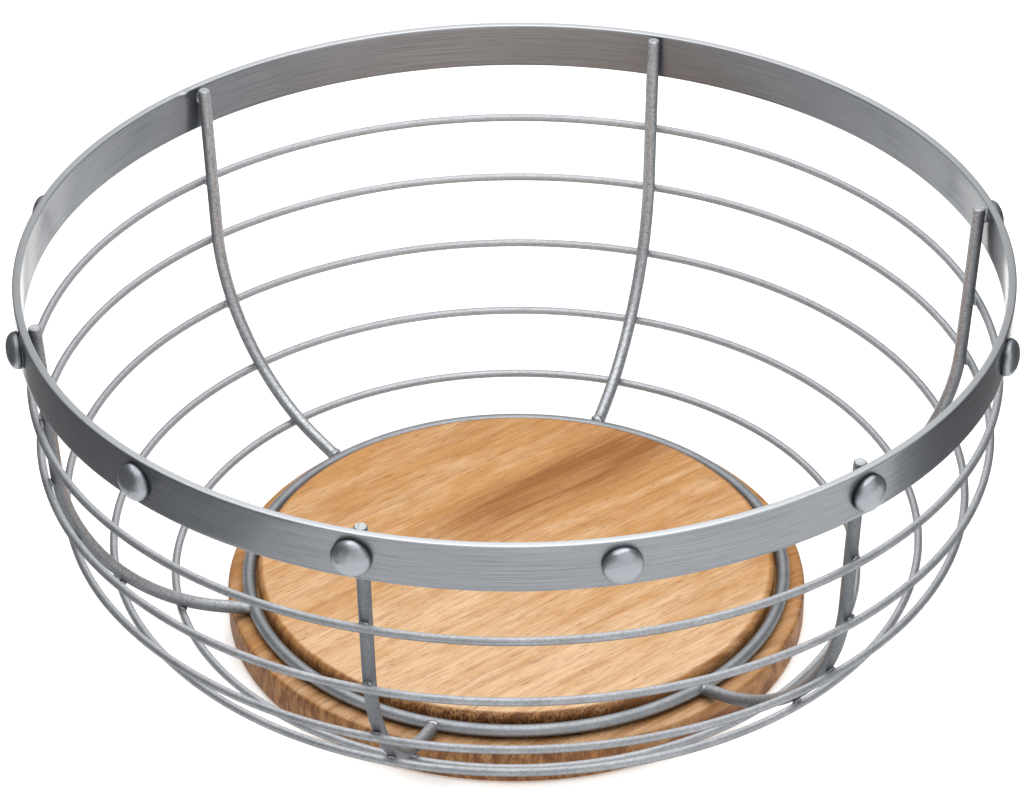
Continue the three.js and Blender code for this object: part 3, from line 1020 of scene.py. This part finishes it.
class BASKET_OT_base_board(bpy.types.Operator):
    """Turns the wooden board with its step for the base ring, and bores it for the studs"""
    bl_idname = "basket.base_board"
    bl_label = "Base board"

    def execute(self, context):
        sizes = context.scene.basket_sizes
        low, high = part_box("base_board")
        outer = reach("base_board")
        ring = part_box("base_ring")
        shoulder = ring[0].z - sizes.joint_gap
        centre = reach("base_ring") - sizes.rib_wire - sizes.ring_clearance
        flange = outer - sizes.flange_edge
        lip = centre - sizes.centre_edge
        profile = [(0, low.z)]
        profile += arc((flange, low.z + sizes.flange_edge), sizes.flange_edge, -90, 0)
        profile += arc((flange, shoulder - sizes.flange_edge), sizes.flange_edge, 0, 90)
        profile += [(centre, shoulder)]
        profile += arc((lip, high.z - sizes.centre_edge), sizes.centre_edge, 0, 90)
        profile += [(0, high.z)]
        board = new_piece("turned_board", turned("turned_board", profile, BOARD_SEGMENTS))
        bore = sizes.counterbore / 2
        hole = sizes.stud_hole / 2
        roof = shoulder - STUD_HOLE_ROOF
        cutter = [(0, -sizes.joint_gap), (bore, -sizes.joint_gap), (bore, sizes.counterbore_depth),
                  (hole, sizes.counterbore_depth), (hole, roof), (0, roof)]
        rows = [(radial(node) * middle(node).xy.length, UP, radial(node), FULL_SIZE) for node in STUDS]
        finish = oiled_acacia(context.scene.basket_colours)
        tool = copies("board_cutters", rows, turned("cutter", cutter, SMALL_SEGMENTS), finish)
        board.data.materials.append(finish)
        bored = board.modifiers.new("Bores", "BOOLEAN")
        bored.object = tool
        bored.solver = "EXACT"
        graph = bpy.context.evaluated_depsgraph_get()
        board.data = bpy.data.meshes.new_from_object(board.evaluated_get(graph), depsgraph=graph)
        board.modifiers.remove(bored)
        bpy.data.objects.remove(tool)
        torn = Vector((math.cos(TORN_ANGLE), math.sin(TORN_ANGLE)))

        def across(place):
            """How squarely the edge here cuts the grain, where the oil sinks in deepest."""
            return abs(place.xy.normalized().dot(torn))

        def raised(place):
            """Whether this is the raised centre, down to the foot of its wall."""
            return place.z > shoulder - sizes.joint_gap and place.xy.length < centre + sizes.joint_gap

        def wall(vertex):
            """How far the wood has turned from its level faces to a wall. The flange is all browner."""
            place = vertex.co
            if raised(place):
                soaked = 1 - fade(place.xy.length - lip, *WALL_DEPTH)
                return soaked * (SIDE_TONE + (1 - SIDE_TONE) * across(place))
            return max(1 - fade(min(shoulder - place.z, place.z - low.z), *WALL_DEPTH), FLANGE_TONE)

        def end_grain(vertex):
            """How badly a wall is torn, less on the flange, which is sanded finer."""
            share = 1 if raised(vertex.co) else FLANGE_SHARE
            return wall(vertex) * share * across(vertex.co) ** TORN_FOCUS

        paint(board.data, wall=wall, end_grain=end_grain)
        settle(board, ["base_board"])
        return {"FINISHED"}


# Fixings under the board

NUT_CHAMFER = 0.35 * MM
NUT_CHAMFER_ROWS = 4
WASHER_EDGE = 0.12 * MM
WASHER_ROWS = 2


class BASKET_OT_fixings(bpy.types.Operator):
    """Makes the weld studs under the base ring, with their washers and nuts"""
    bl_idname = "basket.fixings"
    bl_label = "Fixings"

    def execute(self, context):
        sizes = context.scene.basket_sizes
        finish = zinc_plate(context.scene.basket_colours)
        for name, nodes, shape in (("weld_studs", STUDS, self.stud), ("stud_washers", WASHERS, self.washer),
                                   ("stud_nuts", NUTS, self.nut)):
            low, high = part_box(nodes[0])
            rows = [(radial(node) * middle(node).xy.length + UP * low.z, UP, radial(node), FULL_SIZE)
                    for node in nodes]
            piece = copies(name, rows, shape(sizes, high.z - low.z), finish)
            settle(piece, nodes)
        return {"FINISHED"}

    def stud(self, sizes, height):
        """A rod with a thread of grooves and a chamfered end."""
        crest = (sizes.stud_hole - 2 * sizes.joint_gap) / 2
        root = crest - sizes.thread_depth
        turns = int(height / sizes.thread_pitch)
        profile = [(0, 0)]
        for i in range(turns):
            profile += [(root, i * sizes.thread_pitch), (crest, (i + 0.5) * sizes.thread_pitch)]
        profile += [(root, height), (0, height)]
        return turned("stud", profile, SMALL_SEGMENTS)

    def washer(self, sizes, height):
        outer = sizes.counterbore / 2 - sizes.joint_gap
        profile = flat_ring(sizes.stud_hole / 2, outer, 0, height, WASHER_EDGE, WASHER_ROWS)
        return turned("washer", profile, SMALL_SEGMENTS, closed=True)

    def nut(self, sizes, height):
        """A chamfered ring whose wall is pressed flat on six sides."""
        corner = (sizes.counterbore - 4 * sizes.joint_gap) / 2
        flat = corner * math.cos(math.pi / 6)
        hole = sizes.stud_hole / 2
        chamfer = straight((flat, 0), (corner, NUT_CHAMFER), NUT_CHAMFER_ROWS)
        lower = [(flat, 0)] + chamfer + [(corner, NUT_CHAMFER)]
        upper = [(radius, height - rise) for radius, rise in reversed(lower)]
        mesh = turned("nut", [(hole, 0)] + lower + upper + [(hole, height)], SMALL_SEGMENTS, closed=True)
        for vertex in mesh.vertices:
            turn = math.atan2(vertex.co.y, vertex.co.x) % (math.pi / 3) - math.pi / 6
            limit = flat / math.cos(turn)
            radius = vertex.co.xy.length
            if radius > limit:
                vertex.co.xy *= limit / radius
        return mesh


# Stage

FLOOR_RADIUS = 6.0
FLOOR_SEGMENTS = 64
FLOOR_GAP = 0.1 * MM
FLOOR_GLOW = 0.3
SIDE_STRENGTH = 0.3
# Direction, cosines between which it fades in, and strength of each pale wall
WALLS = (
    ((0.03, 0.965, 0.26), (0.7, 0.95), 0.6),
    ((0.3, -0.93, 0.2), (0.55, 0.95), 0.75),
)
# Place, aim, width and depth in metres, spread in degrees, power in watts
LAMPS = {
    "key_softbox": ((0, 0.1, 1.1), (0, 0.05, 0), 1.2, 1.6, 180, 17.5),
    "front_softbox": ((1.0, -1.1, 0.75), (0, 0, 0.08), 1.4, 1.2, 180, 2.6),
}
# Distance from the middle to the side, and the nearest and furthest depth
FLAGS = {"left_flag": (-0.22, -0.31, 0.5), "right_flag": (0.22, -0.095, 0.5)}
FLAG_HEIGHT = 0.3


class BASKET_OT_stage(bpy.types.Operator):
    """Lays the pale floor, hangs the softboxes and sets the camera at the photograph's angle"""
    bl_idname = "basket.stage"
    bl_label = "Stage"

    def execute(self, context):
        scene = context.scene
        self.floor(scene.basket_colours)
        for name, (side, near, far) in FLAGS.items():
            self.flag(name, side, near, far, scene.basket_colours)
        for name, settings in LAMPS.items():
            self.lamp(name, *settings)
        scene.world = self.studio(scene.basket_colours)
        scene.view_settings.view_transform = "Standard"
        scene.camera = self.camera()
        return {"FINISHED"}

    def floor(self, colours):
        mesh = bpy.data.meshes.new("floor")
        mesh.from_pydata(ring_of_points(FLOOR_RADIUS, -FLOOR_GAP, FLOOR_SEGMENTS), [],
                         [range(FLOOR_SEGMENTS)])
        mesh.materials.append(studio_paper("Studio paper", colours.floor, FLOOR_GLOW))
        new_piece("floor", mesh)

    def flag(self, name, side, near, far, colours):
        """A grey card that shades the band's flanks, seen only in the gloss of the metal."""
        mesh = bpy.data.meshes.new(name)
        corners = [(side, near, 0), (side, far, 0), (side, far, FLAG_HEIGHT), (side, near, FLAG_HEIGHT)]
        mesh.from_pydata(corners, [], [range(4)])
        mesh.materials.append(studio_paper("Grey card", colours.flag))
        card = new_piece(name, mesh)
        card.visible_camera = card.visible_diffuse = card.visible_shadow = False

    def studio(self, colours):
        """Pale walls before and behind the basket, and dim sides that shade its flanks."""
        world = bpy.data.worlds.new("Studio")
        world.use_nodes = True
        tree = world.node_tree
        toward = put(tree, "ShaderNodeTexCoord").outputs["Generated"]
        total = SIDE_STRENGTH
        for axis, (far, near), strength in WALLS:
            facing = put(tree, "ShaderNodeVectorMath", {0: toward, 1: axis}, operation="DOT_PRODUCT")
            wall = put(tree, "ShaderNodeMapRange", between(facing, far, near, 0, strength),
                       interpolation_type="SMOOTHSTEP")
            total = put(tree, "ShaderNodeMath", {0: wall, 1: total}, operation="ADD")
        feed(tree, tree.nodes["Background"], {"Color": opaque(colours.floor), "Strength": total})
        return world

    def lamp(self, name, place, aim, width, depth, spread, watts):
        light = bpy.data.lights.new(name, "AREA")
        light.shape = "RECTANGLE"
        light.size = width
        light.size_y = depth
        light.spread = math.radians(spread)
        light.energy = watts
        lamp = bpy.data.objects.new(name, light)
        place = Vector(place)
        turn = (Vector(aim) - place).to_track_quat("-Z", "Y")
        lamp.matrix_world = Matrix.Translation(place) @ turn.to_matrix().to_4x4()
        bpy.context.scene.collection.objects.link(lamp)

    def camera(self):
        lens = bpy.data.cameras.new("camera")
        lens.sensor_width = SENSOR_WIDTH
        lens.lens = FOCAL_PIXELS * SENSOR_WIDTH / IMAGE_WIDTH
        camera = bpy.data.objects.new("camera", lens)
        place = Vector((0, -CAMERA_BACK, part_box("rim_band")[1].z + CAMERA_ABOVE_RIM))
        camera.matrix_world = (Matrix.Translation(place)
                               @ Matrix.Rotation(CAMERA_YAW, 4, "Z")
                               @ Matrix.Rotation(math.pi / 2 - CAMERA_PITCH, 4, "X")
                               @ Matrix.Rotation(CAMERA_ROLL, 4, "Z"))
        bpy.context.scene.collection.objects.link(camera)
        return camera


OPERATORS = (
    BASKET_OT_rim_band,
    BASKET_OT_rivets,
    BASKET_OT_ribs,
    BASKET_OT_hoops,
    BASKET_OT_base_ring,
    BASKET_OT_welds,
    BASKET_OT_base_board,
    BASKET_OT_fixings,
    BASKET_OT_stage,
)


class BASKET_PT_pieces(bpy.types.Panel):
    """Lists the basket's pieces, sizes and colours"""
    bl_idname = "BASKET_PT_pieces"
    bl_label = "Wire fruit basket"
    bl_space_type = "VIEW_3D"
    bl_region_type = "UI"
    bl_category = "Basket"

    def draw(self, context):
        for operator in OPERATORS:
            self.layout.operator(operator.bl_idname)
        for group in (context.scene.basket_sizes, context.scene.basket_colours):
            column = self.layout.column()
            for name in group.bl_rna.properties.keys():
                if name not in ("rna_type", "name"):
                    column.prop(group, name)


CLASSES = (BasketSizes, BasketColours, *OPERATORS, BASKET_PT_pieces)


def register():
    for item in CLASSES:
        bpy.utils.register_class(item)
    bpy.types.Scene.basket_sizes = PointerProperty(type=BasketSizes)
    bpy.types.Scene.basket_colours = PointerProperty(type=BasketColours)


def unregister():
    del bpy.types.Scene.basket_colours
    del bpy.types.Scene.basket_sizes
    for item in reversed(CLASSES):
        bpy.utils.unregister_class(item)


def main():
    register()
    for operator in OPERATORS:
        group, name = operator.bl_idname.split(".")
        getattr(getattr(bpy.ops, group), name)()


if __name__ == "__main__":
    main()
